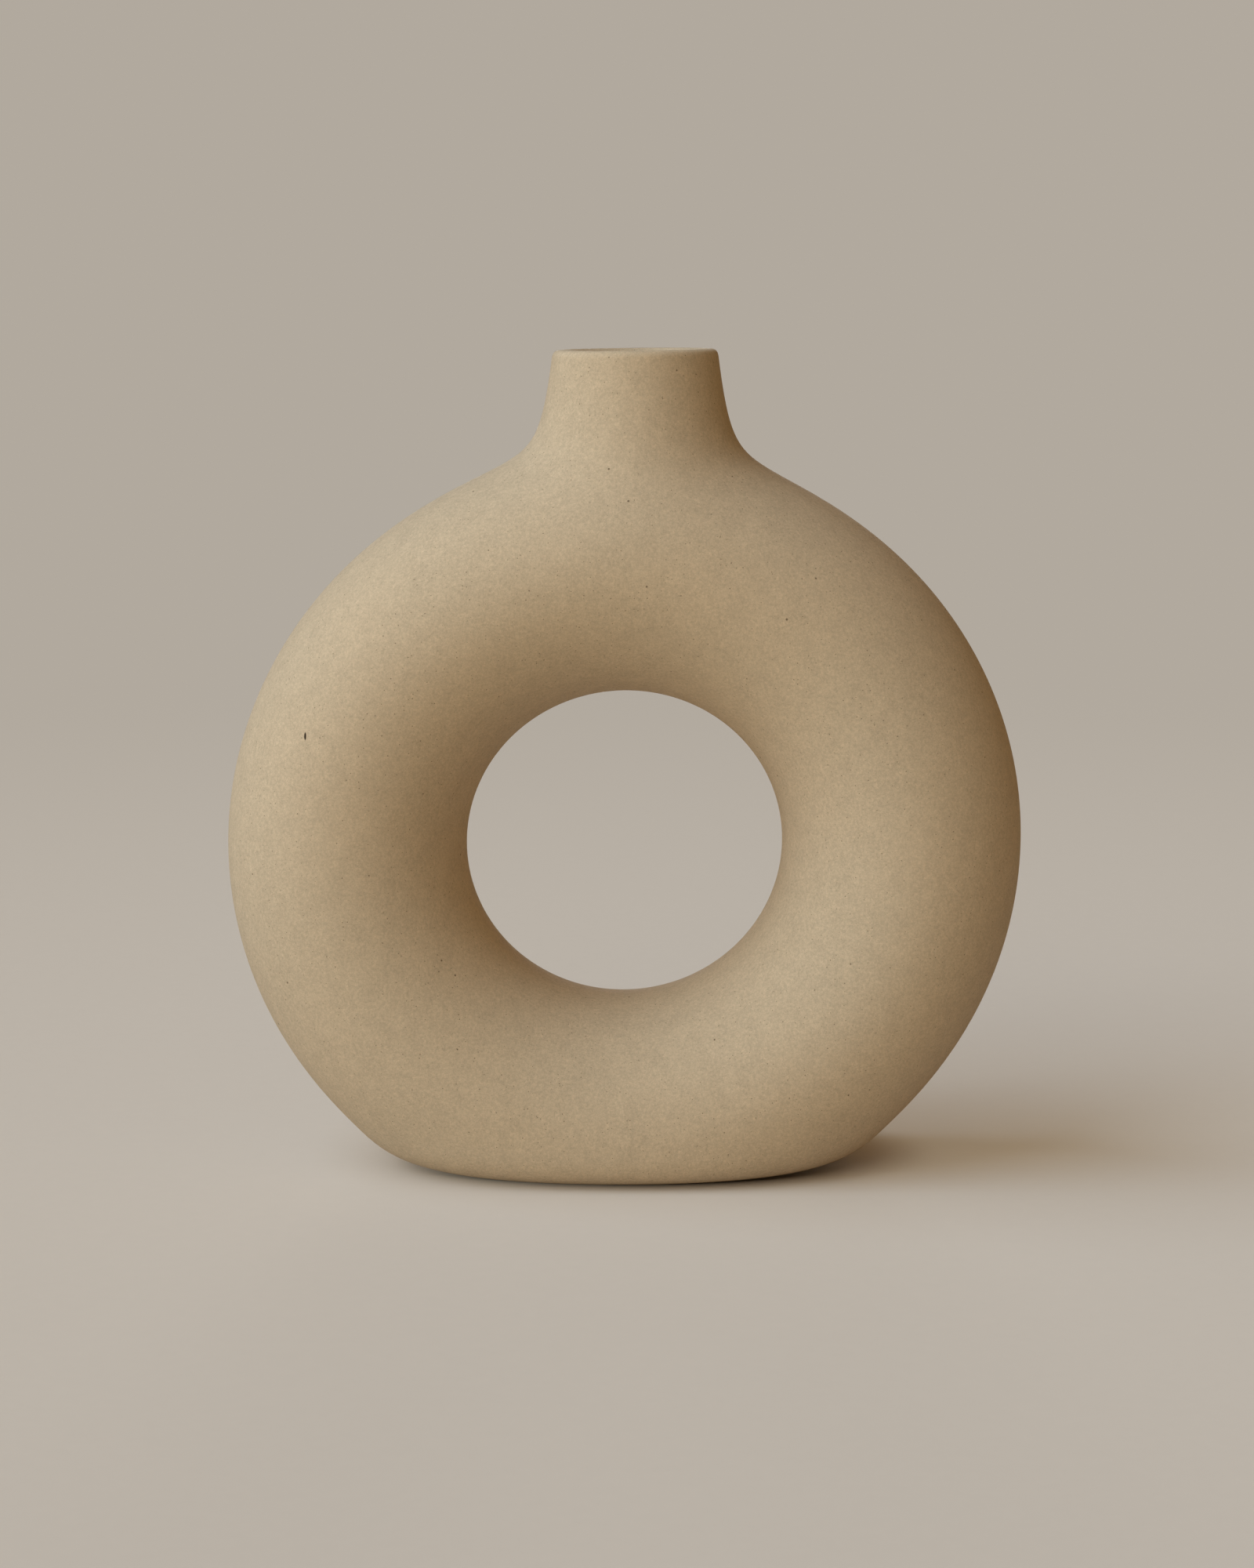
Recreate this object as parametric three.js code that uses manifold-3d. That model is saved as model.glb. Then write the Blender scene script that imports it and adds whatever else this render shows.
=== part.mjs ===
// Ring vase in matte speckled stoneware: two half shells and a neck collar luted together with slip,
// glazed inside and stood on a felt sheet.
// Millimetres, +Z up, front towards -Y, origin on the table under the middle of the ring.
import * as THREE from "three";
import { mergeVertices } from "three/addons/utils/BufferGeometryUtils.js";
import Module from "manifold-3d";

// Ring
const ringWidth = 199.4; // the tails of the flares add 1 to it
const ringHeight = 194.6; // before the foot is cut
const tubeThickness = 59.2; // in the plane of the ring
const tubeDepth = 65; // front to back
const ringLean = 0.011; // rise towards +X for each millimetre

// Foot
const footCut = 13.6; // height of the ring's lowest part that the foot takes away
const footFlare = 3.4; // how far the flare fills the corner between the ring and the table
const footRounding = 9.4; // blend from the flare to the underside

// Neck
const neckHeight = 26.4; // from the top of the ring to the lip
const neckRoot = 14; // reach of the neck down into the ring
const neckRootRounding = 10;
const neckShift = 2.7; // from the middle of the ring, towards +X
const neckTaper = 0.085; // growth of the neck's radius for each millimetre down from the lip
const neckFlare = 5.7; // how far the flare fills the corner between the neck and the ring
const mouthDiameter = 38.6; // outside, at the lip, before the flare

// Clay, slip, glaze and felt
const wall = 4.5;
const lipSquareness = 3; // 2 makes the lip's section a half circle, more makes it flatter on top
const slip = 0.8; // thickness of a luted joint
const clearance = 0.3; // between a joint's faces and its slip
const collarReach = 9; // from the mouth's edge out to the collar's seat
const glaze = 0.6;
const glazeClearance = 0.5; // between the glaze and the clay behind it
const feltThickness = 0.6;
const feltAdhesive = 0.2;
const feltLength = 66; // of the oval on the flat of the foot
const feltDepth = 36;

// Facets
const ringStations = 56;
const stationBias = 0.4; // how much closer the stations lie at the neck and foot than at the sides
const outerSteps = 12; // round half a tube
const innerSteps = 8;
const neckSectors = 40;
const flareSteps = 8;
const lipSteps = 8;
const feltSegments = 24;
const rayStep = 1.5;
const rayHalvings = 30;

// Finishes
const clayLook = { color: 0xb7a27f, roughness: 0.9, metalness: 0 };
const slipLook = { color: 0xbba785, roughness: 0.92, metalness: 0 };
const glazeLook = { color: 0xa68d68, roughness: 0.25, metalness: 0 };
const feltLook = { color: 0x4a4038, roughness: 1, metalness: 0 };

// Sizes that follow from those above
const tubeHalfThickness = tubeThickness / 2;
const ringRadius = ringWidth / 2 - tubeHalfThickness;
const ringSquash = ringHeight / ringWidth;
const footPlane = feltThickness + feltAdhesive;
const ringCentreHeight = footPlane + ringHeight / 2 - footCut;
const ringTop = ringCentreHeight + ringHeight / 2;
const lipHeight = ringTop + neckHeight;
const mouthRadius = mouthDiameter / 2;
const lipRound = wall / 2;
const partingPlane = slip / 2 + clearance;
const glazeBack = wall + glazeClearance;
const glazeFace = glazeBack + glaze;

const wasm = await Module();
wasm.setup();

// Smooth maximum: the two values blend where they differ by less than k.
function blendMax(a, b, k) {
  const share = Math.max(k - Math.abs(a - b), 0) / k;
  return Math.max(a, b) + (share * share * k) / 4;
}

// Smooth minimum with long tails: a hyperbola that passes k under the corner of the two values.
const flareMin = (a, b, k) => (a + b) / 2 - Math.hypot((a - b) / 2, k);

// Distance from an ellipse with half axes a and b, near enough close to its edge, negative inside.
function ellipseDistance(u, v, a, b) {
  const share = Math.hypot(u / a, v / b);
  const slope = Math.hypot(u / a ** 2, v / b ** 2);
  return slope > 0 ? (share * (share - 1)) / slope : -Math.min(a, b);
}

// Height above the table, taken along the ring's lean.
const levelHeight = (p) => p.z - ringLean * p.x;

function ringField(p) {
  const rise = (levelHeight(p) - ringCentreHeight) / ringSquash;
  const offset = Math.hypot(p.x, rise) - ringRadius;
  return ellipseDistance(offset, p.y, tubeHalfThickness, tubeDepth / 2);
}

function neckField(p) {
  const belowLip = lipHeight - levelHeight(p);
  const side = Math.hypot(p.x - neckShift, p.y) - mouthRadius - neckTaper * belowLip;
  return blendMax(side, belowLip - neckHeight - neckRoot, neckRootRounding);
}

// Outside of the clay as a field: negative inside, zero on the surface, with the neck left endless.
function clayField(p) {
  const necked = flareMin(ringField(p), neckField(p), neckFlare);
  const footed = flareMin(necked, p.z, footFlare);
  return blendMax(footed, footPlane - p.z, footRounding);
}

// The same with the neck closed at the lip.
const closedField = (p) => Math.max(clayField(p), levelHeight(p) - lipHeight);

// First point along a ray from inside the vase that lies at a depth under the clay's outside.
function pointAtDepth(field, origin, direction, depth) {
  const point = new THREE.Vector3();
  const inside = (reach) => field(point.copy(direction).multiplyScalar(reach).add(origin)) < -depth;
  let near = 0;
  let far = rayStep;
  while (inside(far)) {
    near = far;
    far += rayStep;
  }
  for (let i = 0; i < rayHalvings; i++) {
    const middle = (near + far) / 2;
    if (inside(middle)) near = middle;
    else far = middle;
  }
  return point.copy(direction).multiplyScalar(far).add(origin);
}

const range = (count) => Array.from({ length: count }, (_, i) => i);

// Angles round the ring, from the neck and back to it.
const stationAngles = range(ringStations).map((i) => {
  const turn = (2 * Math.PI * i) / ringStations;
  return Math.PI / 2 + turn - (stationBias / 2) * Math.sin(2 * turn);
});

// Point on the tube's section at a station: turn 0 faces away from the eye and half a turn faces it.
function tubePoint(angle, turn, side, plane, depth) {
  const across = ringRadius * Math.cos(angle);
  const up = ringCentreHeight + ringSquash * ringRadius * Math.sin(angle) + ringLean * across;
  const outward = Math.cos(turn);
  const direction = new THREE.Vector3(
    outward * Math.cos(angle),
    side * Math.sin(turn),
    outward * Math.sin(angle),
  );
  return pointAtDepth(closedField, new THREE.Vector3(across, plane, up), direction, depth);
}

// Half of the tube's section at a station, from the rim to the eye.
const halfSection = (angle, side, steps, depth) =>
  range(steps + 1).map((i) =>
    tubePoint(angle, (Math.PI * i) / steps, side, side * partingPlane, depth),
  );

// Closed mesh through closed loops of points, the last loop joined to the first, facing out.
function loft(loops) {
  const count = loops[0].length;
  const corners = loops.flat();
  const index = [];
  loops.forEach((_, i) => {
    const here = i * count;
    const next = ((i + 1) % loops.length) * count;
    for (let j = 0; j < count; j++) {
      const k = (j + 1) % count;
      index.push(here + j, next + j, next + k, here + j, next + k, here + k);
    }
  });
  let volume = 0;
  for (let i = 0; i < index.length; i += 3) {
    const [a, b, c] = index.slice(i, i + 3).map((corner) => corners[corner]);
    volume += a.dot(b.clone().cross(c));
  }
  if (volume < 0) index.reverse();
  return new THREE.BufferGeometry().setFromPoints(corners).setIndex(index);
}

// Solid of a closed mesh, for cutting.
function solidOf(geometry) {
  geometry.deleteAttribute("normal");
  geometry.deleteAttribute("uv");
  const merged = mergeVertices(geometry);
  return new wasm.Manifold(
    new wasm.Mesh({
      numProp: 3,
      vertProperties: merged.attributes.position.array,
      triVerts: new Uint32Array(merged.index.array),
    }),
  );
}

function geometryOf(solid) {
  const mesh = solid.getMesh();
  return new THREE.BufferGeometry()
    .setAttribute("position", new THREE.BufferAttribute(mesh.vertProperties, 3))
    .setIndex(new THREE.BufferAttribute(mesh.triVerts, 1));
}

// Bevelled seat of the collar: cones about the neck's axis that rise one for one away from it.
// A seat lower by a gap is a cone whose face lies that gap under the collar's own.
const collarTip = ringTop - mouthRadius - collarReach;
const seatTip = (gap) => collarTip - gap * Math.SQRT2;
const seamTop = seatTip(clearance);
const seamBottom = seatTip(clearance + slip);
const shellTip = seatTip(clearance + slip + clearance);

// Everything above a seat's cone, to well over the lip.
function aboveSeat(tip) {
  const height = 2 * (lipHeight - tip);
  const cone = new THREE.ConeGeometry(height, height, neckSectors);
  cone.rotateX(-Math.PI / 2);
  cone.translate(neckShift, 0, tip + height / 2);
  return solidOf(cone);
}

// Point of the neck's wall where a cone with its tip on the axis meets a depth in the clay.
function neckPoint(azimuth, tip, depth) {
  const direction = new THREE.Vector3(Math.cos(azimuth), Math.sin(azimuth), 1);
  return pointAtDepth(clayField, new THREE.Vector3(neckShift, 0, tip), direction, depth);
}

// Point of the neck's wall at the height where the lip's rounding starts.
function lipPoint(azimuth, depth) {
  const start = new THREE.Vector3(neckShift, 0, lipHeight - lipRound + ringLean * neckShift);
  const across = Math.cos(azimuth);
  const direction = new THREE.Vector3(across, Math.sin(azimuth), ringLean * across);
  return pointAtDepth(clayField, start, direction, depth);
}

// Points up the neck's wall at one depth, from a seat to where the lip's rounding starts.
function neckRun(azimuth, tip, depth) {
  const top = lipPoint(azimuth, depth);
  const topTip = top.z - Math.hypot(top.x - neckShift, top.y);
  const run = range(flareSteps).map((i) =>
    neckPoint(azimuth, tip + ((topTip - tip) * i) / flareSteps, depth),
  );
  return [...run, top];
}

// Half of a superellipse over the wall, between the outer and the inner run's last points.
function lipArc(outer, inner) {
  const middle = outer.clone().add(inner).multiplyScalar(0.5);
  const half = outer.clone().sub(middle);
  const squared = (value) => Math.sign(value) * Math.abs(value) ** (2 / lipSquareness);
  return range(lipSteps - 1).map((i) => {
    const turn = (Math.PI * (i + 1)) / lipSteps;
    const point = half.clone().multiplyScalar(squared(Math.cos(turn))).add(middle);
    point.z += half.length() * squared(Math.sin(turn));
    return point;
  });
}

const azimuths = range(neckSectors).map((i) => (2 * Math.PI * i) / neckSectors);

// One half of the ring: a hollow C section carried round it, with the collar's seat cut out.
// Both halves run the same way round the tube, so that their facets match those of the glaze.
function halfShell(side) {
  const loops = stationAngles.map((angle) => {
    const outer = halfSection(angle, side, outerSteps, 0);
    const inner = halfSection(angle, side, innerSteps, wall);
    return side < 0 ? [...outer, ...inner.reverse()] : [...inner, ...outer.reverse()];
  });
  return geometryOf(solidOf(loft(loops)).subtract(aboveSeat(shellTip)));
}

// Band of slip between the halves, at one turn of the tube's section.
function partingSeam(turn) {
  const corners = [
    [-1, 0],
    [1, 0],
    [1, wall],
    [-1, wall],
  ];
  return loft(
    stationAngles.map((angle) =>
      corners.map(([side, depth]) => tubePoint(angle, turn, side, (side * slip) / 2, depth)),
    ),
  );
}

const rimSeam = () => geometryOf(solidOf(partingSeam(0)).subtract(aboveSeat(shellTip)));

const eyeSeam = () => partingSeam(Math.PI);

function neckCollar() {
  return loft(
    azimuths.map((azimuth) => {
      const outer = neckRun(azimuth, collarTip, 0);
      const inner = neckRun(azimuth, collarTip, wall);
      return [...outer, ...lipArc(outer.at(-1), inner.at(-1)), ...inner.reverse()];
    }),
  );
}

function neckSeam() {
  return loft(
    azimuths.map((azimuth) => [
      neckPoint(azimuth, seamTop, wall),
      neckPoint(azimuth, seamTop, 0),
      neckPoint(azimuth, seamBottom, 0),
      neckPoint(azimuth, seamBottom, wall),
    ]),
  );
}

// The ring's hollow at one depth, filled.
function hollow(depth) {
  const turns = range(2 * innerSteps).map((i) => (Math.PI * i) / innerSteps);
  const section = (angle) => turns.map((turn) => tubePoint(angle, turn, 1, 0, depth));
  return solidOf(loft(stationAngles.map(section)));
}

const chamberGlaze = () =>
  geometryOf(hollow(glazeBack).subtract(hollow(glazeFace)).subtract(aboveSeat(shellTip)));

function neckGlaze() {
  return loft(
    azimuths.map((azimuth) => [
      ...neckRun(azimuth, seamBottom, glazeBack),
      ...neckRun(azimuth, seamBottom, glazeFace).reverse(),
    ]),
  );
}

// Oval sheet on the flat of the foot.
function footFelt() {
  const outline = new THREE.Shape();
  outline.absellipse(0, 0, feltLength / 2, feltDepth / 2, 0, 2 * Math.PI);
  return new THREE.ExtrudeGeometry(outline, {
    depth: feltThickness,
    curveSegments: feltSegments,
    bevelEnabled: false,
  });
}

const vase = new THREE.Group();
vase.name = "ring_vase";

function addPiece(name, geometry, look) {
  const piece = new THREE.Mesh(geometry, new THREE.MeshStandardMaterial(look));
  piece.name = name;
  vase.add(piece);
}

addPiece("front_shell", halfShell(-1), clayLook);
addPiece("back_shell", halfShell(1), clayLook);
addPiece("rim_seam", rimSeam(), slipLook);
addPiece("eye_seam", eyeSeam(), slipLook);
addPiece("neck_collar", neckCollar(), clayLook);
addPiece("neck_seam", neckSeam(), slipLook);
addPiece("chamber_glaze", chamberGlaze(), glazeLook);
addPiece("neck_glaze", neckGlaze(), glazeLook);
addPiece("foot_felt", footFelt(), feltLook);

export default vase;
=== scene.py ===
"""Ring vase in matte speckled stoneware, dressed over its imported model.

Metres, +Z up, front towards -Y. The clay's outside is the zero of one field, and every skin of the vase
is found by walking rays out from its hollow to a depth under that outside.
"""
import bpy
import numpy as np
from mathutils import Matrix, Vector


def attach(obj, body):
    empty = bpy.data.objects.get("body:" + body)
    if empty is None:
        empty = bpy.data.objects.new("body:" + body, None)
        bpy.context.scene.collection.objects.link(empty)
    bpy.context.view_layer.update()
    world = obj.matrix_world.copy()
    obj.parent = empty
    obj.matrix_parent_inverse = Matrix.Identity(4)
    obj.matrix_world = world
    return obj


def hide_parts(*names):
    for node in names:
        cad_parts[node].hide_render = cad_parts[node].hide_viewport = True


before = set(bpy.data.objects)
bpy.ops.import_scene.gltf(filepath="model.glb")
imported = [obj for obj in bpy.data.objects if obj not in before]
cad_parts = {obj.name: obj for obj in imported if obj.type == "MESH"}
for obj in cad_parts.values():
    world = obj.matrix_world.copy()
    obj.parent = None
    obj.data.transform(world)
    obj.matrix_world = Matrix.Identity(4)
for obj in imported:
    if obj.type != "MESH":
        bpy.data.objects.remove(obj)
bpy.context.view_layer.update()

# Ring
RING_WIDTH = 0.1994  # the tails of the flares add 0.001 to it
RING_HEIGHT = 0.1946  # before the foot is cut
TUBE_THICKNESS = 0.0592  # in the plane of the ring
TUBE_DEPTH = 0.065  # front to back
RING_LEAN = 0.011  # rise towards +X for each metre

# Foot
FOOT_CUT = 0.0136  # height of the ring's lowest part that the foot takes away
FOOT_FLARE = 0.0034  # how far the flare fills the corner between the ring and the table
FOOT_ROUNDING = 0.0094  # blend from the flare to the underside

# Neck
NECK_HEIGHT = 0.0264  # from the top of the ring to the lip
NECK_ROOT = 0.014  # reach of the neck down into the ring
NECK_ROOT_ROUNDING = 0.010
NECK_SHIFT = 0.0027  # from the middle of the ring, towards +X
NECK_TAPER = 0.085  # growth of the neck's radius for each metre down from the lip
NECK_FLARE = 0.0057  # how far the flare fills the corner between the neck and the ring
MOUTH_DIAMETER = 0.0386  # outside, at the lip, before the flare

# Clay, slip, glaze and felt
WALL = 0.0045
LIP_SQUARENESS = 3  # 2 makes the lip's section a half circle, more makes it flatter on top
SLIP = 0.0008  # thickness of a luted joint
CLEARANCE = 0.0003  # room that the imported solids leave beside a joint, closed here
COLLAR_REACH = 0.009  # from the mouth's edge out to the collar's seat
GLAZE_BOND = 0.00005  # between the clay and the glaze's back
GLAZE_FACE = 0.0011  # between the clay and the glaze's face
GLAZE_EDGE = 0.006  # height under the lip in which the glaze thins out
GLAZE_THINNEST = 0.05  # share of its thickness that the glaze keeps at the lip
FELT_THICKNESS = 0.0006
FELT_ADHESIVE = 0.0002
FELT_LENGTH = 0.066  # of the oval on the flat of the foot
FELT_DEPTH = 0.036
FELT_BORDER = 0.03  # share of the oval's half depth that is an even border along the edge
FELT_MIDDLE = 0.02  # size of the face in the middle, as a share of the oval
FELT_WAVE = 0.00008  # height of the waves in its top
FELT_WAVE_TURNS = (900, 700, 1100)  # radians for each metre: along, in the bend of the crests, across
FELT_WAVE_BEND = 2  # radians by which the crests bend

# Sizes that follow from those above
TUBE_HALF = TUBE_THICKNESS / 2
RING_RADIUS = RING_WIDTH / 2 - TUBE_HALF
RING_SQUASH = RING_HEIGHT / RING_WIDTH
FOOT_PLANE = FELT_THICKNESS + FELT_ADHESIVE
RING_CENTRE = FOOT_PLANE + RING_HEIGHT / 2 - FOOT_CUT
RING_TOP = RING_CENTRE + RING_HEIGHT / 2
LIP_HEIGHT = RING_TOP + NECK_HEIGHT
MOUTH_RADIUS = MOUTH_DIAMETER / 2
LIP_ROUND = WALL / 2
COLLAR_SEAT = RING_TOP - MOUTH_RADIUS - COLLAR_REACH  # height of the seat's cone on the neck's axis
SEAM_TOP = COLLAR_SEAT - CLEARANCE * np.sqrt(2)
SEAM_BOTTOM = SEAM_TOP - SLIP * np.sqrt(2)

# Fineness of the skins
NECK_STATIONS = 96
RING_STATIONS = 256
OUTER_TURNS = 96
INNER_TURNS = 36
SECTORS = 192
COLLAR_ROWS = 48
LIP_ROWS = 24
SLIP_ROWS = 4
FELT_EDGE_ROWS = 9
FELT_FLAT_ROWS = 24
TURN_CROWDING = 0.6  # 0 spaces the turns of the tube evenly, near 1 the first ones lie close together
ROW_CROWDING = 0.5  # the same for the rows of the neck, at both ends
RAY_STEP = 0.0015
HALVINGS = 32
NECK_SPAN = np.radians(45)  # widest turn from the top of the ring at which the seat is looked for
CREASE = np.radians(40)  # edges that turn more than this stay sharp
TINY = 1e-9  # keeps a division clear of zero


def easy(share):
    """From 0 to 1 with an easy start and end: 3 squares less 2 cubes."""
    return share ** 2 * (3 - 2 * share)


def blend_max(a, b, k):
    """The larger of a and b, rounded off where they differ by less than k."""
    share = np.maximum(k - np.abs(a - b), 0) / k
    return np.maximum(a, b) + share ** 2 * k / 4


def flare_min(a, b, k):
    """The smaller of a and b with long tails: a hyperbola that passes k under their corner."""
    return (a + b) / 2 - np.hypot((a - b) / 2, k)


def ellipse_distance(u, v, a, b):
    """Distance from an ellipse with half axes a and b, close to its edge: q (q - 1) over q's slope,
    where q is the point's distance from the middle as a share of the ellipse's."""
    share = np.hypot(u / a, v / b)
    slope = np.hypot(u / a ** 2, v / b ** 2)
    return share * (share - 1) / np.maximum(slope, TINY)


def clay_field(points):
    """Outside of the clay, negative inside: a leaning elliptic tube bent into a ring, flared into a neck
    cone and towards the table, with the foot's plane cut through it and rounded off."""
    x, y, z = np.moveaxis(points, -1, 0)
    level = z - RING_LEAN * x
    offset = np.hypot(x, (level - RING_CENTRE) / RING_SQUASH) - RING_RADIUS
    ring = ellipse_distance(offset, y, TUBE_HALF, TUBE_DEPTH / 2)
    below_lip = LIP_HEIGHT - level
    neck_side = np.hypot(x - NECK_SHIFT, y) - MOUTH_RADIUS - NECK_TAPER * below_lip
    neck = blend_max(neck_side, below_lip - NECK_HEIGHT - NECK_ROOT, NECK_ROOT_ROUNDING)
    whole = flare_min(flare_min(ring, neck, NECK_FLARE), z, FOOT_FLARE)
    return blend_max(whole, FOOT_PLANE - z, FOOT_ROUNDING)


def closed_field(points):
    """The same with the neck closed at the lip."""
    level = points[..., 2] - RING_LEAN * points[..., 0]
    return np.maximum(clay_field(points), level - LIP_HEIGHT)


def first_point(field, origin, direction, depth):
    """First point along each ray that lies at a depth under the clay's outside: the rays are walked in
    even steps while they are deeper than that, and the last step is halved again and again."""
    near = np.zeros(direction.shape[:-1])
    deep = np.ones(near.shape, bool)
    while deep.any():
        ahead = near + RAY_STEP
        deep &= field(origin + direction * ahead[..., None]) < -depth
        near = np.where(deep, ahead, near)
    far = near + RAY_STEP
    for _ in range(HALVINGS):
        middle = (near + far) / 2
        inside = field(origin + direction * middle[..., None]) < -depth
        near = np.where(inside, middle, near)
        far = np.where(inside, far, middle)
    return origin + direction * far[..., None]


def crossing(function, above, below):
    """Where a function goes through zero between values that give more and values that give less."""
    for _ in range(HALVINGS):
        middle = (above + below) / 2
        more = function(middle) > 0
        above = np.where(more, middle, above)
        below = np.where(more, below, middle)
    return (above + below) / 2


def tube_point(angle, turn, side, plane, depth):
    """Point of the tube's section at an angle round the ring: turn 0 faces away from the eye and half a
    turn faces it, through the front where side is -1, from the tube's middle line moved to y = plane."""
    angle, turn, plane, depth = np.broadcast_arrays(angle, turn, plane, depth)
    across = RING_RADIUS * np.cos(angle)
    up = RING_CENTRE + RING_SQUASH * RING_RADIUS * np.sin(angle) + RING_LEAN * across
    outward = np.cos(turn)
    origin = np.stack([across, plane, up], -1)
    ways = [outward * np.cos(angle), side * np.sin(turn), outward * np.sin(angle)]
    return first_point(closed_field, origin, np.stack(ways, -1), depth)


def seat_height(points):
    """Height on the neck's axis of the cone through each point that rises one for one from the axis."""
    return points[..., 2] - np.hypot(points[..., 0] - NECK_SHIFT, points[..., 1])


def seat_edges(plane, depth):
    """Angles at which the tube's crest goes under the collar's seat, on the right and on the left."""
    def rise(angle):
        return seat_height(tube_point(angle, 0.0, 1, plane, depth)) - SEAM_BOTTOM

    top = np.pi / 2
    return [crossing(rise, np.asarray(top), np.asarray(top + way * NECK_SPAN)) for way in (-1, 1)]


def tube_skin(side, plane, depth, turns):
    """Half of the tube's skin at one depth, on a grid of stations round the ring and turns from the rim,
    or under the neck from the seat's edge, to the eye. Stations crowd where the seat meets the rim, by
    a cosine, and turns crowd at the seat's edge."""
    right, left = seat_edges(plane, depth)
    swing = -np.cos(np.pi * np.arange(NECK_STATIONS) / NECK_STATIONS)
    under_neck = (right + left) / 2 + (left - right) / 2 * swing
    round_ring = left + (right + 2 * np.pi - left) * np.arange(RING_STATIONS) / RING_STATIONS
    angles = np.concatenate([under_neck, round_ring])
    starts = np.zeros(angles.shape)

    def rise(turn):
        return seat_height(tube_point(under_neck, turn, side, plane, depth)) - SEAM_BOTTOM

    starts[:NECK_STATIONS] = crossing(rise, np.zeros(NECK_STATIONS), np.full(NECK_STATIONS, np.pi / 2))
    step = np.linspace(0, 1, turns + 1)
    share = step + TURN_CROWDING * step * (step - 1)
    turn = starts[:, None] + (np.pi - starts[:, None]) * share
    return tube_point(angles[:, None], turn, side, plane, depth)


def neck_point(azimuth, height, depth):
    """Point of the neck's wall where a seat cone, by its height on the axis, meets a depth in the clay."""
    azimuth, height = np.broadcast_arrays(azimuth, height)
    origin = np.stack([np.full(azimuth.shape, NECK_SHIFT), np.zeros(azimuth.shape), height], -1)
    direction = np.stack([np.cos(azimuth), np.sin(azimuth), np.ones(azimuth.shape)], -1)
    return first_point(clay_field, origin, direction, depth)


def lip_point(azimuth, depth):
    """Point of the neck's wall at the height where the lip's rounding starts."""
    start = np.array([NECK_SHIFT, 0, LIP_HEIGHT - LIP_ROUND + RING_LEAN * NECK_SHIFT])
    direction = np.stack([np.cos(azimuth), np.sin(azimuth), RING_LEAN * np.cos(azimuth)], -1)
    return first_point(clay_field, start, direction, depth)


def neck_run(azimuth, height, depth, rows):
    """The neck's wall at one depth, on a grid of azimuths and rows from a seat up to the lip's rounding.
    Depth is a number, or a function of the share of the way up."""
    share = np.linspace(0, 1, rows + 1)
    share = ROW_CROWDING * easy(share) + (1 - ROW_CROWDING) * share
    depths = depth(share) if callable(depth) else np.full(share.shape, depth)
    top = lip_point(azimuth[:, None], depths[-1:])
    heights = height + (seat_height(top) - height) * share[:-1]
    run = neck_point(azimuth[:, None], heights, depths[:-1])
    return np.concatenate([run, top], axis=1)


def lip_arc(outer, inner):
    """The lip, as half of a superellipse over the wall that leaves the outer run and enters the inner
    one in their own ways."""
    start, end = outer[:, -1:], inner[:, -1:]
    half = (start - end) / 2
    ways = [run[:, -1:] - run[:, -2:-1] for run in (outer, inner)]
    rise, fall = (way / way[..., 2:] * np.linalg.norm(half, axis=-1, keepdims=True) for way in ways)
    turn = np.linspace(0, np.pi, LIP_ROWS + 1)[1:-1, None]
    across = np.sign(np.cos(turn)) * np.abs(np.cos(turn)) ** (2 / LIP_SQUARENESS)
    up = np.sin(turn) ** (2 / LIP_SQUARENESS)
    lean = rise * (1 + across) / 2 + fall * (1 - across) / 2
    return (start + end) / 2 + half * across + lean * up


def quads(ids, wrap_rows, wrap_columns):
    """Four-cornered faces between neighbours on a grid of vertex numbers, closed on itself where told."""
    if wrap_rows:
        ids = np.concatenate([ids, ids[:1]], axis=0)
    if wrap_columns:
        ids = np.concatenate([ids, ids[:, :1]], axis=1)
    corners = [ids[:-1, :-1], ids[1:, :-1], ids[1:, 1:], ids[:-1, 1:]]
    return np.stack(corners, -1).reshape(-1, 4)


def volume(points, faces):
    """Six times the volume inside a mesh, below zero where its faces point in: the sum of its fans'
    tetrahedra. The caps at its ends are left out."""
    a, b, c, d = (points[faces[:, i]] for i in range(4))
    return (np.cross(a, b) * c).sum() + (np.cross(a, c) * d).sum()


def add_piece(name, node, finish, points, faces, caps=()):
    """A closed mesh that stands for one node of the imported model, its faces turned outwards."""
    points = points.reshape(-1, 3)
    if volume(points, faces) < 0:
        faces = faces[:, ::-1]
        caps = [cap[::-1] for cap in caps]
    mesh = bpy.data.meshes.new(name)
    mesh.from_pydata(points, [], [*faces.tolist(), *[list(cap) for cap in caps]])
    mesh.shade_smooth()
    mesh.set_sharp_from_angle(angle=CREASE)
    mesh.materials.append(finish)
    piece = bpy.data.objects.new(name, mesh)
    bpy.context.scene.collection.objects.link(piece)
    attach(piece, "root")
    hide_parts(node)
    return piece


def add_ring(name, node, finish, loops):
    """A piece whose closed section loops run round and back to the first one."""
    ids = np.arange(loops[..., 0].size).reshape(loops.shape[:2])
    add_piece(name, node, finish, loops, quads(ids, wrap_rows=True, wrap_columns=True))


def half_shell(name, node, side, finish):
    """Half of the ring: its outer skin from rim to eye and its inner skin back, a C section."""
    plane = side * SLIP / 2
    outer = tube_skin(side, plane, 0.0, OUTER_TURNS)
    inner = tube_skin(side, plane, WALL, INNER_TURNS)
    add_ring(name, node, finish, np.concatenate([outer, inner[:, ::-1]], axis=1))


def seam_section():
    """Offsets across a band of slip and depths into the wall, once round the band's section."""
    across = np.linspace(-SLIP / 2, SLIP / 2, SLIP_ROWS + 1)
    depth = np.concatenate([np.zeros(across.shape), np.full(across.shape, WALL)])
    return np.concatenate([across, across[::-1]]), depth


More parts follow.
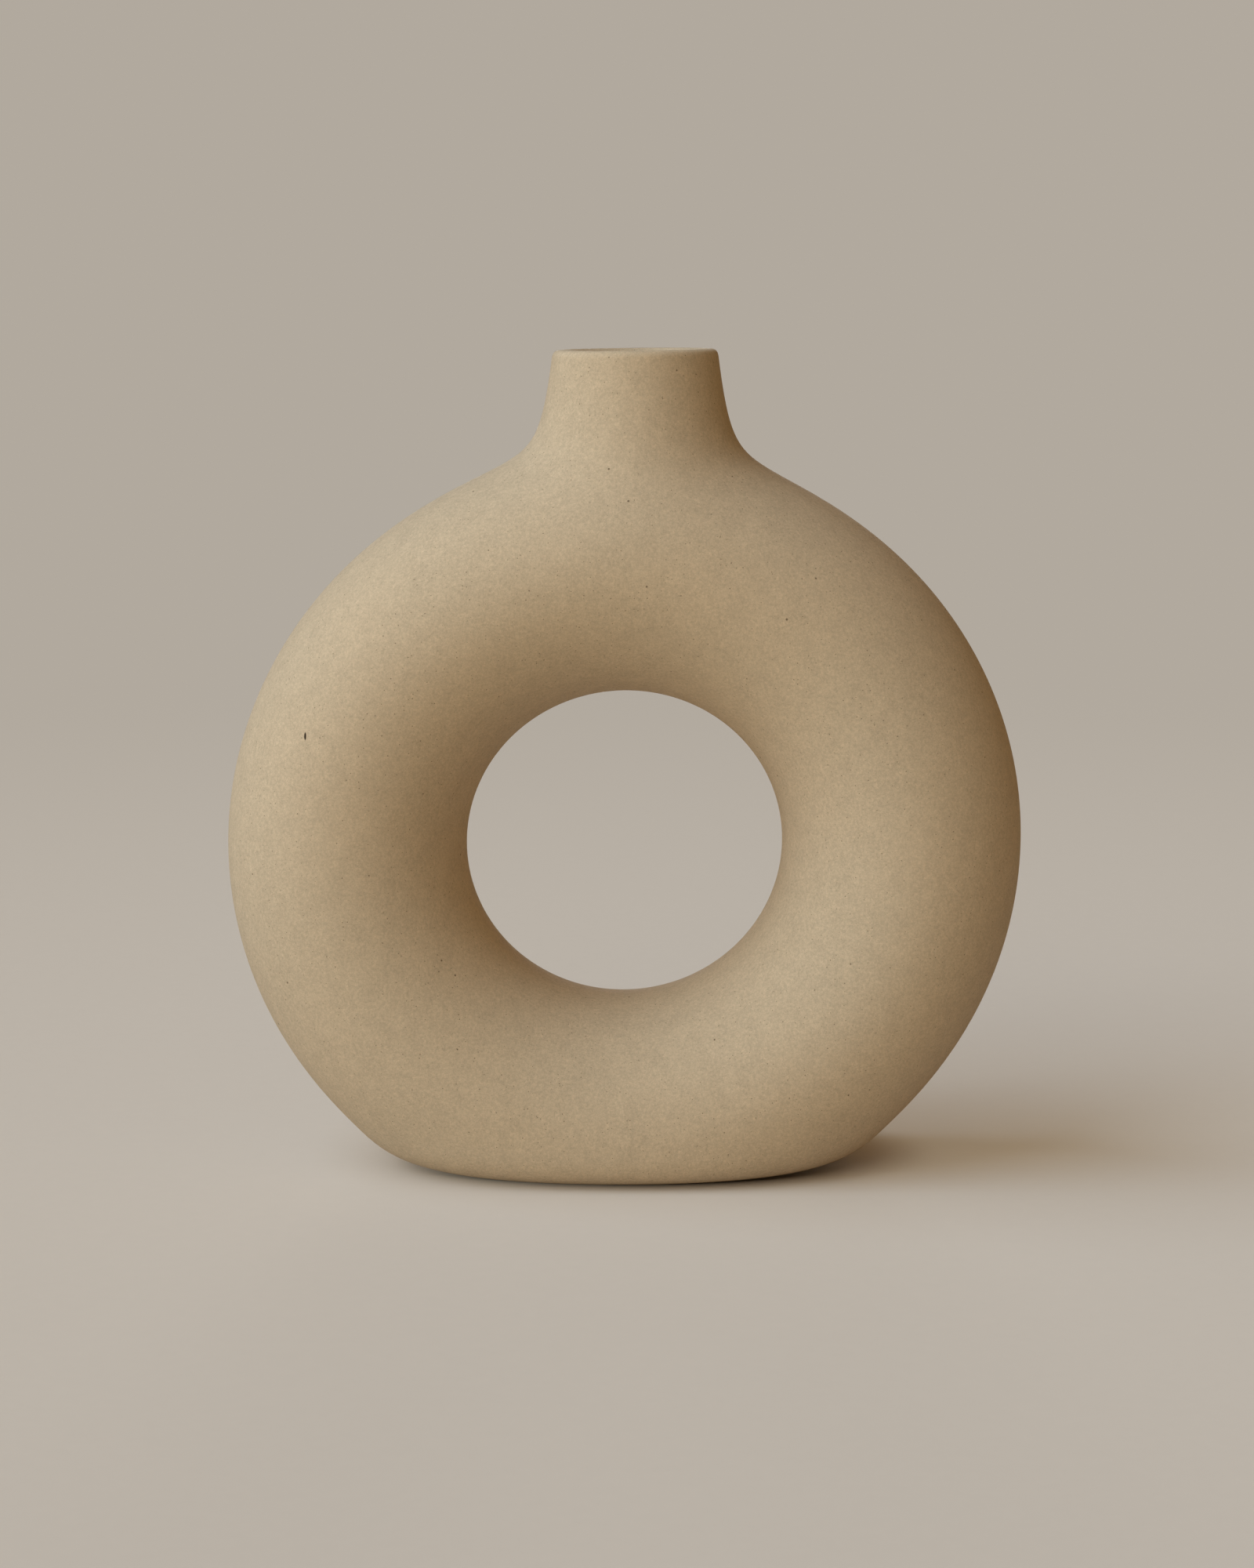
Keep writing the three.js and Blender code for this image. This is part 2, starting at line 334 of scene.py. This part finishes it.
def rim_seam(finish):
    """Band of slip between the halves round the outside, from one end of the seat to the other."""
    across, depth = seam_section()
    right, left = seat_edges(across, depth)
    angles = left + (right + 2 * np.pi - left) * np.linspace(0, 1, RING_STATIONS + 1)[:, None]
    loops = tube_point(angles, 0.0, 1, across, depth)
    ids = np.arange(loops[..., 0].size).reshape(loops.shape[:2])
    caps = [ids[0].tolist(), ids[-1, ::-1].tolist()]
    faces = quads(ids, wrap_rows=False, wrap_columns=True)
    add_piece("rim_seam_slip", "rim_seam", finish, loops, faces, caps)


def eye_seam(finish):
    """Band of slip between the halves round the eye."""
    across, depth = seam_section()
    angles = 2 * np.pi * np.arange(RING_STATIONS)[:, None] / RING_STATIONS
    add_ring("eye_seam_slip", "eye_seam", finish, tube_point(angles, np.pi, 1, across, depth))


def azimuths():
    """Even turns about the upright axis, once round."""
    return 2 * np.pi * np.arange(SECTORS) / SECTORS


def neck_collar(finish):
    """The flared neck: up its outside, over the lip and down its inside."""
    outer = neck_run(azimuths(), SEAM_TOP, 0.0, COLLAR_ROWS)
    inner = neck_run(azimuths(), SEAM_TOP, WALL, COLLAR_ROWS)
    loops = np.concatenate([outer, lip_arc(outer, inner), inner[:, ::-1]], axis=1)
    add_ring("neck_collar_clay", "neck_collar", finish, loops)


def neck_seam(finish):
    """Ring of slip between the collar and its seat."""
    heights = np.linspace(SEAM_TOP, SEAM_BOTTOM, SLIP_ROWS + 1)
    outer = neck_point(azimuths()[:, None], heights, 0.0)
    inner = neck_point(azimuths()[:, None], heights, WALL)
    loops = np.concatenate([outer, inner[:, ::-1]], axis=1)
    add_ring("neck_seam_slip", "neck_seam", finish, loops)


def chamber_coat(finish):
    """Glaze inside the ring: a back skin and a face skin, each right round the tube, joined along the
    seat's edge. Away from the neck a skin's last column is its first one again."""
    skins = []
    for depth in (WALL + GLAZE_BOND, WALL + GLAZE_FACE):
        front, back = (tube_skin(side, 0.0, depth, INNER_TURNS) for side in (-1, 1))
        skins.append(np.concatenate([front, back[:, -2::-1]], axis=1))
    points = np.stack(skins)
    ids = np.arange(points[..., 0].size).reshape(points.shape[:3])
    ids[:, NECK_STATIONS:, -1] = ids[:, NECK_STATIONS:, 0]
    ids[:, 0, -1] = ids[:, 0, 0]
    back_skin, face_skin = ids
    edge = slice(0, NECK_STATIONS + 1)
    front_edge, back_edge = (np.stack([skin[edge, end] for skin in ids], 1) for end in (0, -1))
    faces = np.concatenate([
        quads(back_skin, wrap_rows=True, wrap_columns=False),
        quads(face_skin, wrap_rows=True, wrap_columns=False)[:, ::-1],
        quads(front_edge, wrap_rows=False, wrap_columns=False)[:, ::-1],
        quads(back_edge, wrap_rows=False, wrap_columns=False),
    ])
    used, faces = np.unique(faces, return_inverse=True)
    points = points.reshape(-1, 3)[used]
    add_piece("chamber_glaze_coat", "chamber_glaze", finish, points, faces.reshape(-1, 4))


def neck_coat(finish):
    """Glaze inside the neck: a back at one depth and a face that comes close to it under the lip."""
    def face_depth(share):
        below = (LIP_HEIGHT - SEAM_BOTTOM) * (1 - share) / GLAZE_EDGE
        return WALL + GLAZE_BOND + (GLAZE_FACE - GLAZE_BOND) * np.clip(below, GLAZE_THINNEST, 1)

    back = neck_run(azimuths(), SEAM_BOTTOM, WALL + GLAZE_BOND, COLLAR_ROWS)
    face = neck_run(azimuths(), SEAM_BOTTOM, face_depth, COLLAR_ROWS)
    loops = np.concatenate([back, face[:, ::-1]], axis=1)
    add_ring("neck_glaze_coat", "neck_glaze", finish, loops)


def foot_felt(finish):
    """Oval of felt under the foot: rows of ovals from the middle of its underside out, round its soft
    edge, and back to the middle of its top, which lies in low waves. The rows of the edge are set in by
    a width and the others are scaled."""
    length = FELT_LENGTH / 2
    depth = FELT_DEPTH / 2
    border = FELT_BORDER * depth
    turn = np.linspace(-np.pi / 2, np.pi / 2, FELT_EDGE_ROWS)
    inset = np.concatenate([[border], FELT_THICKNESS / 2 * (1 - np.cos(turn)), [border]])
    edge = np.concatenate([[0], FELT_THICKNESS / 2 * (1 + np.sin(turn)), [FELT_THICKNESS]])
    flat = np.linspace(1 - FELT_BORDER, FELT_MIDDLE, FELT_FLAT_ROWS)[1:]
    azimuth = azimuths()[:, None]
    x = np.concatenate([flat[::-1] * length, length - inset, flat * length]) * np.cos(azimuth)
    y = np.concatenate([flat[::-1] * depth, depth - inset, flat * depth]) * np.sin(azimuth)
    z = np.concatenate([0 * flat, edge, FELT_THICKNESS + 0 * flat])
    along, bend, across = FELT_WAVE_TURNS
    waves = FELT_WAVE * np.sin(along * x + FELT_WAVE_BEND * np.sin(bend * y)) * np.sin(across * y)
    z = z + np.where(np.arange(z.size) >= z.size - flat.size, waves, 0)
    points = np.stack([x, y, np.broadcast_to(z, x.shape)], -1)
    ids = np.arange(x.size).reshape(x.shape)
    caps = [ids[:, 0].tolist(), ids[::-1, -1].tolist()]
    faces = quads(ids, wrap_rows=True, wrap_columns=False)
    sheet = add_piece("foot_felt_sheet", "foot_felt", finish, points, faces, caps)


class Tone:
    """What a node gives over a surface. Sums, products and the like of numbers add their Math nodes."""

    def __init__(self, finish, socket):
        self.finish = finish
        self.socket = socket

    def math(self, operation, first, second):
        """A Math node on two numbers."""
        return self.finish.node("ShaderNodeMath", {"operation": operation}, [first, second])

    def __add__(self, other):
        return self.math("ADD", self, other)

    def __sub__(self, other):
        return self.math("SUBTRACT", self, other)

    def __rsub__(self, other):
        return self.math("SUBTRACT", other, self)

    def __mul__(self, other):
        return self.math("MULTIPLY", self, other)

    def __lt__(self, other):
        return self.math("LESS_THAN", self, other)

    __radd__ = __add__
    __rmul__ = __mul__


class Finish:
    """A material's nodes round its one main shader."""

    def __init__(self, name):
        self.material = bpy.data.materials.new(name)
        self.material.use_nodes = True
        self.tree = self.material.node_tree
        self.shader = self.tree.nodes["Principled BSDF"]
        self.place = self.node("ShaderNodeTexCoord", {}, {}, "Object")

    def node(self, kind, settings, sockets, output=0):
        """A node of a kind: its settings come first, then its sockets' values or links, and what it
        gives is one of its outputs."""
        made = self.tree.nodes.new(kind)
        for name, value in settings.items():
            setattr(made, name, value)
        self.fill(made, dict(enumerate(sockets)) if isinstance(sockets, list) else sockets)
        return Tone(self, made.outputs[output])

    def noise(self, size, detail=2.0, roughness=0.5):
        """Cloudy noise from 0 to 1 with clouds about as large as size."""
        sockets = {"Vector": self.place, "Scale": 1 / size, "Detail": detail, "Roughness": roughness}
        return self.node("ShaderNodeTexNoise", {}, sockets)

    def smooth(self, value, low, high):
        """0 where a value is at low, 1 where it is at high, and an easy slope between them."""
        sockets = {"Value": value, "From Min": low, "From Max": high}
        return self.node("ShaderNodeMapRange", {"interpolation_type": "SMOOTHSTEP"}, sockets)

    def mix(self, share, first, second):
        """The first colour where share is 0 and the second where it is 1."""
        sockets = {0: share, 6: first, 7: second}
        return self.node("ShaderNodeMix", {"data_type": "RGBA"}, sockets, 2)

    def shade(self, colour, amount):
        """A colour made lighter or darker by a number about 1."""
        grey = self.node("ShaderNodeCombineColor", {}, [amount, amount, amount])
        settings = {"data_type": "RGBA", "blend_type": "MULTIPLY"}
        return self.node("ShaderNodeMix", settings, {0: 1.0, 6: colour, 7: grey}, 2)

    def specks(self, spacing, radius, kept):
        """Mask of round specks with soft edges, one in each cell about as large as spacing where the cell
        is kept, with radii up to the one given."""
        sockets = {"Vector": self.place, "Scale": 1 / spacing}
        distance = self.node("ShaderNodeTexVoronoi", {}, sockets, "Distance")
        draw = self.node("ShaderNodeTexVoronoi", {}, sockets, "Color")
        red = self.node("ShaderNodeSeparateColor", {}, [draw], "Red")
        green = self.node("ShaderNodeSeparateColor", {}, [draw], "Green")
        edge = (SPECK_SMALLEST + (1 - SPECK_SMALLEST) * green) * (radius / spacing)
        fade = SPECK_SOFTNESS * radius / spacing
        return (1 - self.smooth(distance - edge, -fade, 0.0)) * (red < kept)

    def reach(self, middle, half_axes):
        """Distance from a middle as a share of the way to an oval with the half axes given, and level
        where there are two of them."""
        stretch = [1 / half for half in half_axes] + [0] * (3 - len(half_axes))
        away = self.node("ShaderNodeVectorMath", {"operation": "SUBTRACT"}, [self.place, middle])
        away = self.node("ShaderNodeVectorMath", {"operation": "MULTIPLY"}, [away, stretch])
        return self.node("ShaderNodeVectorMath", {"operation": "LENGTH"}, [away], "Value")

    def bump(self, height, relief):
        """Normals of a face whose height goes up and down by a relief in metres."""
        sockets = {"Height": height, "Distance": relief, "Strength": 1.0}
        return self.node("ShaderNodeBump", {}, sockets, "Normal")

    def fill(self, node, sockets):
        """Sets a node's sockets to values, or links them to what other nodes give."""
        for key, value in sockets.items():
            if isinstance(value, Tone):
                self.tree.links.new(value.socket, node.inputs[key])
            else:
                node.inputs[key].default_value = value

    def done(self, sockets):
        """The material, once its main shader's sockets are filled."""
        self.fill(self.shader, sockets)
        return self.material


# Looks: linear colours with alpha, sizes in metres, and shares
CLAY_TONE = (0.6, 0.474, 0.316, 1)
CLAY_WARM = (0.605, 0.464, 0.301, 1)
DRIFT_SIZE = 0.045  # of the clouds of tone, and of the finer noises
MOTTLE_SIZE = 0.004
GRAIN_SIZE = 0.0008
SAND_SIZE = 0.0003
PLAIN_SHARE = 0.38  # of the clay's tone, and what each noise from 0 to 1 adds to it
DRIFT_SHARE = 0.1
MOTTLE_SHARE = 0.25
GRAIN_SHARE = 0.44
SAND_SHARE = 0.45
CLAY_RELIEF = 0.00006
GRAIN_RISE = 0.6  # of that relief
SAND_RISE = 0.4
SPECK_SINK = 0.3
SPECK_TONE = (0.13, 0.085, 0.045, 1)
SPECK_SMALLEST = 0.5  # radius as a share of the largest
SPECK_SOFTNESS = 0.4  # width of a speck's edge as a share of that radius
FINE_SPECKS = (0.0011, 0.00019, 0.6)  # spacing, largest radius, and share of the cells that hold one
FINE_DARKNESS = 0.7
COARSE_SPECKS = (0.0042, 0.00036, 0.35)
COARSE_DARKNESS = 0.8
SLIP_SPECKLE = 0.8  # how much of the clay's specks the sponged slip shows
FLECK_TONE = (0.045, 0.028, 0.016, 1)
FLECK_PLACE = (-0.0779, -0.0293, 0.1151)
FLECK_SIZE = (0.00034, 0.002, 0.0012)  # half axes, long way up
FLECK_CORE = 0.55  # share of the way to its edge that is wholly dark
GLAZE_THIN = (0.40, 0.285, 0.155, 1)
GLAZE_THICK = (0.33, 0.225, 0.115, 1)
GLAZE_CLOUD = 0.012  # size of the clouds in it
GLAZE_MOTTLE = (0.3, 0.7)  # values of the clouds between which it thickens
GLAZE_SPECKS = (0.005, 0.0004, 0.4)
GLAZE_DARKNESS = 0.5  # of its specks
GLAZE_PEEL = 0.002  # size of the waves in its face
GLAZE_RELIEF = 0.00004
FELT_DARK = (0.05, 0.037, 0.028, 1)
FELT_LIGHT = (0.10, 0.076, 0.06, 1)
FELT_FIBRE = 0.0004
FELT_BLOTCH = 0.006
FELT_RELIEF = 0.0002


def stoneware(name, speckle):
    """Matte fired clay: a slow drift of tone, faint mottling, a fine sandy grain, small dark specks and a
    few larger ones, one dark fleck on the left of the front, and a dry, slightly sandy face."""
    finish = Finish(name)
    drift = finish.noise(DRIFT_SIZE)
    mottle = finish.noise(MOTTLE_SIZE, detail=3.0, roughness=0.65)
    grain = finish.noise(GRAIN_SIZE, roughness=0.6)
    sand = finish.noise(SAND_SIZE)
    fine = finish.specks(*FINE_SPECKS)
    coarse = finish.specks(*COARSE_SPECKS)
    lightness = PLAIN_SHARE + DRIFT_SHARE * drift + MOTTLE_SHARE * mottle
    lightness = lightness + GRAIN_SHARE * grain + SAND_SHARE * sand
    tone = finish.shade(finish.mix(drift, CLAY_TONE, CLAY_WARM), lightness)
    tone = finish.mix(fine * (FINE_DARKNESS * speckle), tone, SPECK_TONE)
    tone = finish.mix(coarse * (COARSE_DARKNESS * speckle), tone, SPECK_TONE)
    fleck = 1 - finish.smooth(finish.reach(FLECK_PLACE, FLECK_SIZE), FLECK_CORE, 1.0)
    tone = finish.mix(fleck, tone, FLECK_TONE)
    height = grain * GRAIN_RISE + sand * SAND_RISE - fine * SPECK_SINK
    return finish.done({
        "Base Color": tone,
        "Roughness": 0.78 + 0.14 * grain,
        "Normal": finish.bump(height, CLAY_RELIEF),
        "Specular IOR Level": 0.12,
    })


def liner_glaze():
    """Honey-beige glaze: mottled in thin and thick clouds, glossy, with a faint orange-peel face."""
    finish = Finish("liner_glaze")
    cloud = finish.noise(GLAZE_CLOUD, detail=3.0)
    mottle = finish.smooth(cloud, *GLAZE_MOTTLE)
    tone = finish.mix(mottle, GLAZE_THIN, GLAZE_THICK)
    tone = finish.mix(finish.specks(*GLAZE_SPECKS) * GLAZE_DARKNESS, tone, SPECK_TONE)
    return finish.done({
        "Base Color": tone,
        "Roughness": 0.18 + 0.12 * cloud,
        "Normal": finish.bump(finish.noise(GLAZE_PEEL), GLAZE_RELIEF),
    })


def felt():
    """Dark wool felt: short matted fibres as a fine noise, a blotchy tone and a soft sheen."""
    finish = Finish("dark_felt")
    fibre = finish.noise(FELT_FIBRE, detail=4.0, roughness=0.7)
    blotch = finish.noise(FELT_BLOTCH)
    tone = finish.mix(fibre, FELT_DARK, FELT_LIGHT)
    tone = finish.shade(tone, 0.85 + 0.3 * blotch)
    return finish.done({
        "Base Color": tone,
        "Roughness": 0.92 + 0.08 * fibre,
        "Normal": finish.bump(fibre, FELT_RELIEF),
        "Sheen Weight": 0.3,
    })


# Stage
TABLE_RADIUS = 0.45  # of the paper that throws light back on the vase
TABLE_ROWS = 160
TABLE_START = 0.05  # square root of the first row's share of that radius, hidden under the foot
PAPER_SINK = 0.001  # how far the foot presses the soft paper down
SINK_SIZE = (0.046, 0.018)  # half axes of the oval that lies lowest
SINK_RISE = 0.3  # width of the slope round it, as a share of the oval
FLOOR_RADIUS = 2.5
FLOOR_ROWS = 24
WALL_BEND = 2.0  # radius of the quarter round from the floor up into the wall
WALL_ROWS = 48
PAPER_TONE = (0.643, 0.57, 0.487, 1)
PAPER_FIBRE = 0.004
PAINTED_FILL_GLOW = (0.11, 0.097, 0.075, 1)  # painted fill light: a glow seen on the paper over the light that falls on it, which lightens the vase's shadow
PAINTED_SHADE_PLACE = (0.012, 0.012, 0)  # middle of the oval of painted shade in the lee of the foot, which has none of this glow
PAINTED_SHADE_SIZE = (0.055, 0.035)  # its half axes
PAINTED_SHADE_EDGE = (0.9, 1.3)  # shares of it between which the glow comes back
WALL_TONE = (0.441, 0.397, 0.342, 1)  # as seen, whatever the light on it
WALL_FADE = (0.1, 1.1)  # distances between which the lit paper turns into that tone
NO_TONE = (0, 0, 0, 1)


def paper():
    """Pale paper: lit round the vase over a faint glow of painted fill light, which lightens the vase's
    shadow, is left out in an oval of painted shade in the lee of the foot, and turns into an even glow
    farther out.
    The glow is there for the eye and for mirrors and lights nothing."""
    finish = Finish("paper")
    fibre = finish.noise(PAPER_FIBRE, detail=3.0)
    far = finish.smooth(finish.reach((0, 0, 0), (1, 1)), *WALL_FADE)
    # Painted shade: in an oval in the lee of the foot the glow is left out, so the paper stays darker
    # there
    outside_painted_shade = finish.smooth(finish.reach(PAINTED_SHADE_PLACE, PAINTED_SHADE_SIZE), *PAINTED_SHADE_EDGE)
    seen = finish.node("ShaderNodeLightPath", {}, {}, "Is Camera Ray")
    mirrored = finish.node("ShaderNodeLightPath", {}, {}, "Is Glossy Ray")
    # Painted fill light: a glow near the vase that lightens its shadow, turning into the even backdrop
    # tone farther out
    painted_fill_and_backdrop = finish.mix(far, PAINTED_FILL_GLOW, WALL_TONE)
    return finish.done({
        "Base Color": finish.mix(far, finish.shade(PAPER_TONE, 0.985 + 0.03 * fibre), NO_TONE),
        "Emission Color": finish.mix((seen + mirrored) * outside_painted_shade, NO_TONE, painted_fill_and_backdrop),
        "Emission Strength": 1.0,
        "Roughness": 0.95,
        "Specular IOR Level": 0.0,
    })


def add_paper(name, reach, height, finish):
    """A sheet of the stage: a section's reaches and heights, turned about the upright axis, and pressed
    down under the foot in an oval with an easy slope round it."""
    azimuth = azimuths()[:, None]
    x = reach * np.cos(azimuth)
    y = reach * np.sin(azimuth)
    rise = np.clip((np.hypot(x / SINK_SIZE[0], y / SINK_SIZE[1]) - 1) / SINK_RISE, 0, 1)
    points = np.stack([x, y, height + PAPER_SINK * easy(rise)], -1)
    ids = np.arange(points[..., 0].size).reshape(points.shape[:2])
    mesh = bpy.data.meshes.new(name)
    faces = quads(ids, wrap_rows=True, wrap_columns=False)[:, ::-1]
    mesh.from_pydata(points.reshape(-1, 3), [], faces.tolist())
    mesh.shade_smooth()
    mesh.materials.append(finish)
    sheet = bpy.data.objects.new(name, mesh)
    bpy.context.scene.collection.objects.link(sheet)
    return sheet


def stage():
    """Paper under the vase, a floor farther out that throws no light back on it, and a wall that curves
    up from the floor all round and neither shades nor lights the vase."""
    finish = paper()
    near = np.linspace(TABLE_START, 1, TABLE_ROWS) ** 2 * TABLE_RADIUS
    add_paper("paper_table", near, 0 * near, finish)
    flat = np.linspace(TABLE_RADIUS, FLOOR_RADIUS, FLOOR_ROWS)
    floor = add_paper("paper_floor", flat, 0 * flat, finish)
    floor.visible_diffuse = False
    bend = np.linspace(0, 1, WALL_ROWS) ** 2 * np.pi / 2
    reach = FLOOR_RADIUS + WALL_BEND * np.sin(bend)
    wall = add_paper("paper_wall", reach, WALL_BEND * (1 - np.cos(bend)), finish)
    wall.visible_shadow = False
    wall.visible_diffuse = False


def lamp(name, azimuth, height, width, strength, tone):
    """A far soft light: azimuth from the front round by the right, height over the table, and width as
    seen from the vase, in degrees."""
    round_by, above = np.radians([azimuth, height])
    way = (np.sin(round_by) * np.cos(above), -np.cos(round_by) * np.cos(above), np.sin(above))
    light = bpy.data.lights.new(name, "SUN")
    light.angle = np.radians(width)
    light.energy = strength
    light.color = tone
    source = bpy.data.objects.new(name, light)
    source.rotation_euler = Vector(way).to_track_quat("Z", "Y").to_euler()
    bpy.context.scene.collection.objects.link(source)


# Light
FRONT_TONE = (1.0, 0.99, 0.88)
WINDOW_TONE = (0.567, 0.758, 1.0)
BACK_TONE = (0.9, 0.95, 1.0)
ROOM_TONE = (1.0, 0.64, 0.27, 1)
ROOM_STRENGTH = 0.22


def studio():
    """A broad light from the front left, a cool one high on the left, a weak one that shows the back, and
    faint warm light all round."""
    lamp("front_light", azimuth=330, height=8, width=60, strength=1.27, tone=FRONT_TONE)
    lamp("window_light", azimuth=290, height=45, width=60, strength=2.18, tone=WINDOW_TONE)
    lamp("back_light", azimuth=180, height=8, width=20, strength=0.6, tone=BACK_TONE)
    world = bpy.data.worlds.new("room")
    world.use_nodes = True
    room = world.node_tree.nodes["Background"]
    room.inputs["Color"].default_value = ROOM_TONE
    room.inputs["Strength"].default_value = ROOM_STRENGTH
    bpy.context.scene.world = world


# Camera
CAMERA_PLACE = (0.000645, -0.87812, 0.225)
CAMERA_PITCH = np.radians(8.157)  # downwards
CAMERA_LENS = 80.54  # millimetres, as the sensor
CAMERA_SENSOR = 36.0  # along the longer side of the picture


def camera():
    """The viewing angle, from the front and a little above."""
    data = bpy.data.cameras.new("camera")
    data.lens = CAMERA_LENS
    data.sensor_width = CAMERA_SENSOR
    eye = bpy.data.objects.new("camera", data)
    eye.location = CAMERA_PLACE
    eye.rotation_euler = (np.pi / 2 - CAMERA_PITCH, 0, 0)
    bpy.context.scene.collection.objects.link(eye)
    bpy.context.scene.camera = eye


clay = stoneware("speckled_clay", 1.0)
slip = stoneware("sponged_slip", SLIP_SPECKLE)
glaze = liner_glaze()

half_shell("front_shell_clay", "front_shell", -1, clay)
half_shell("back_shell_clay", "back_shell", 1, clay)
rim_seam(slip)
eye_seam(slip)
neck_collar(clay)
neck_seam(slip)
chamber_coat(glaze)
neck_coat(glaze)
foot_felt(felt())
stage()
studio()
camera()
bpy.context.scene.view_settings.view_transform = "Standard"
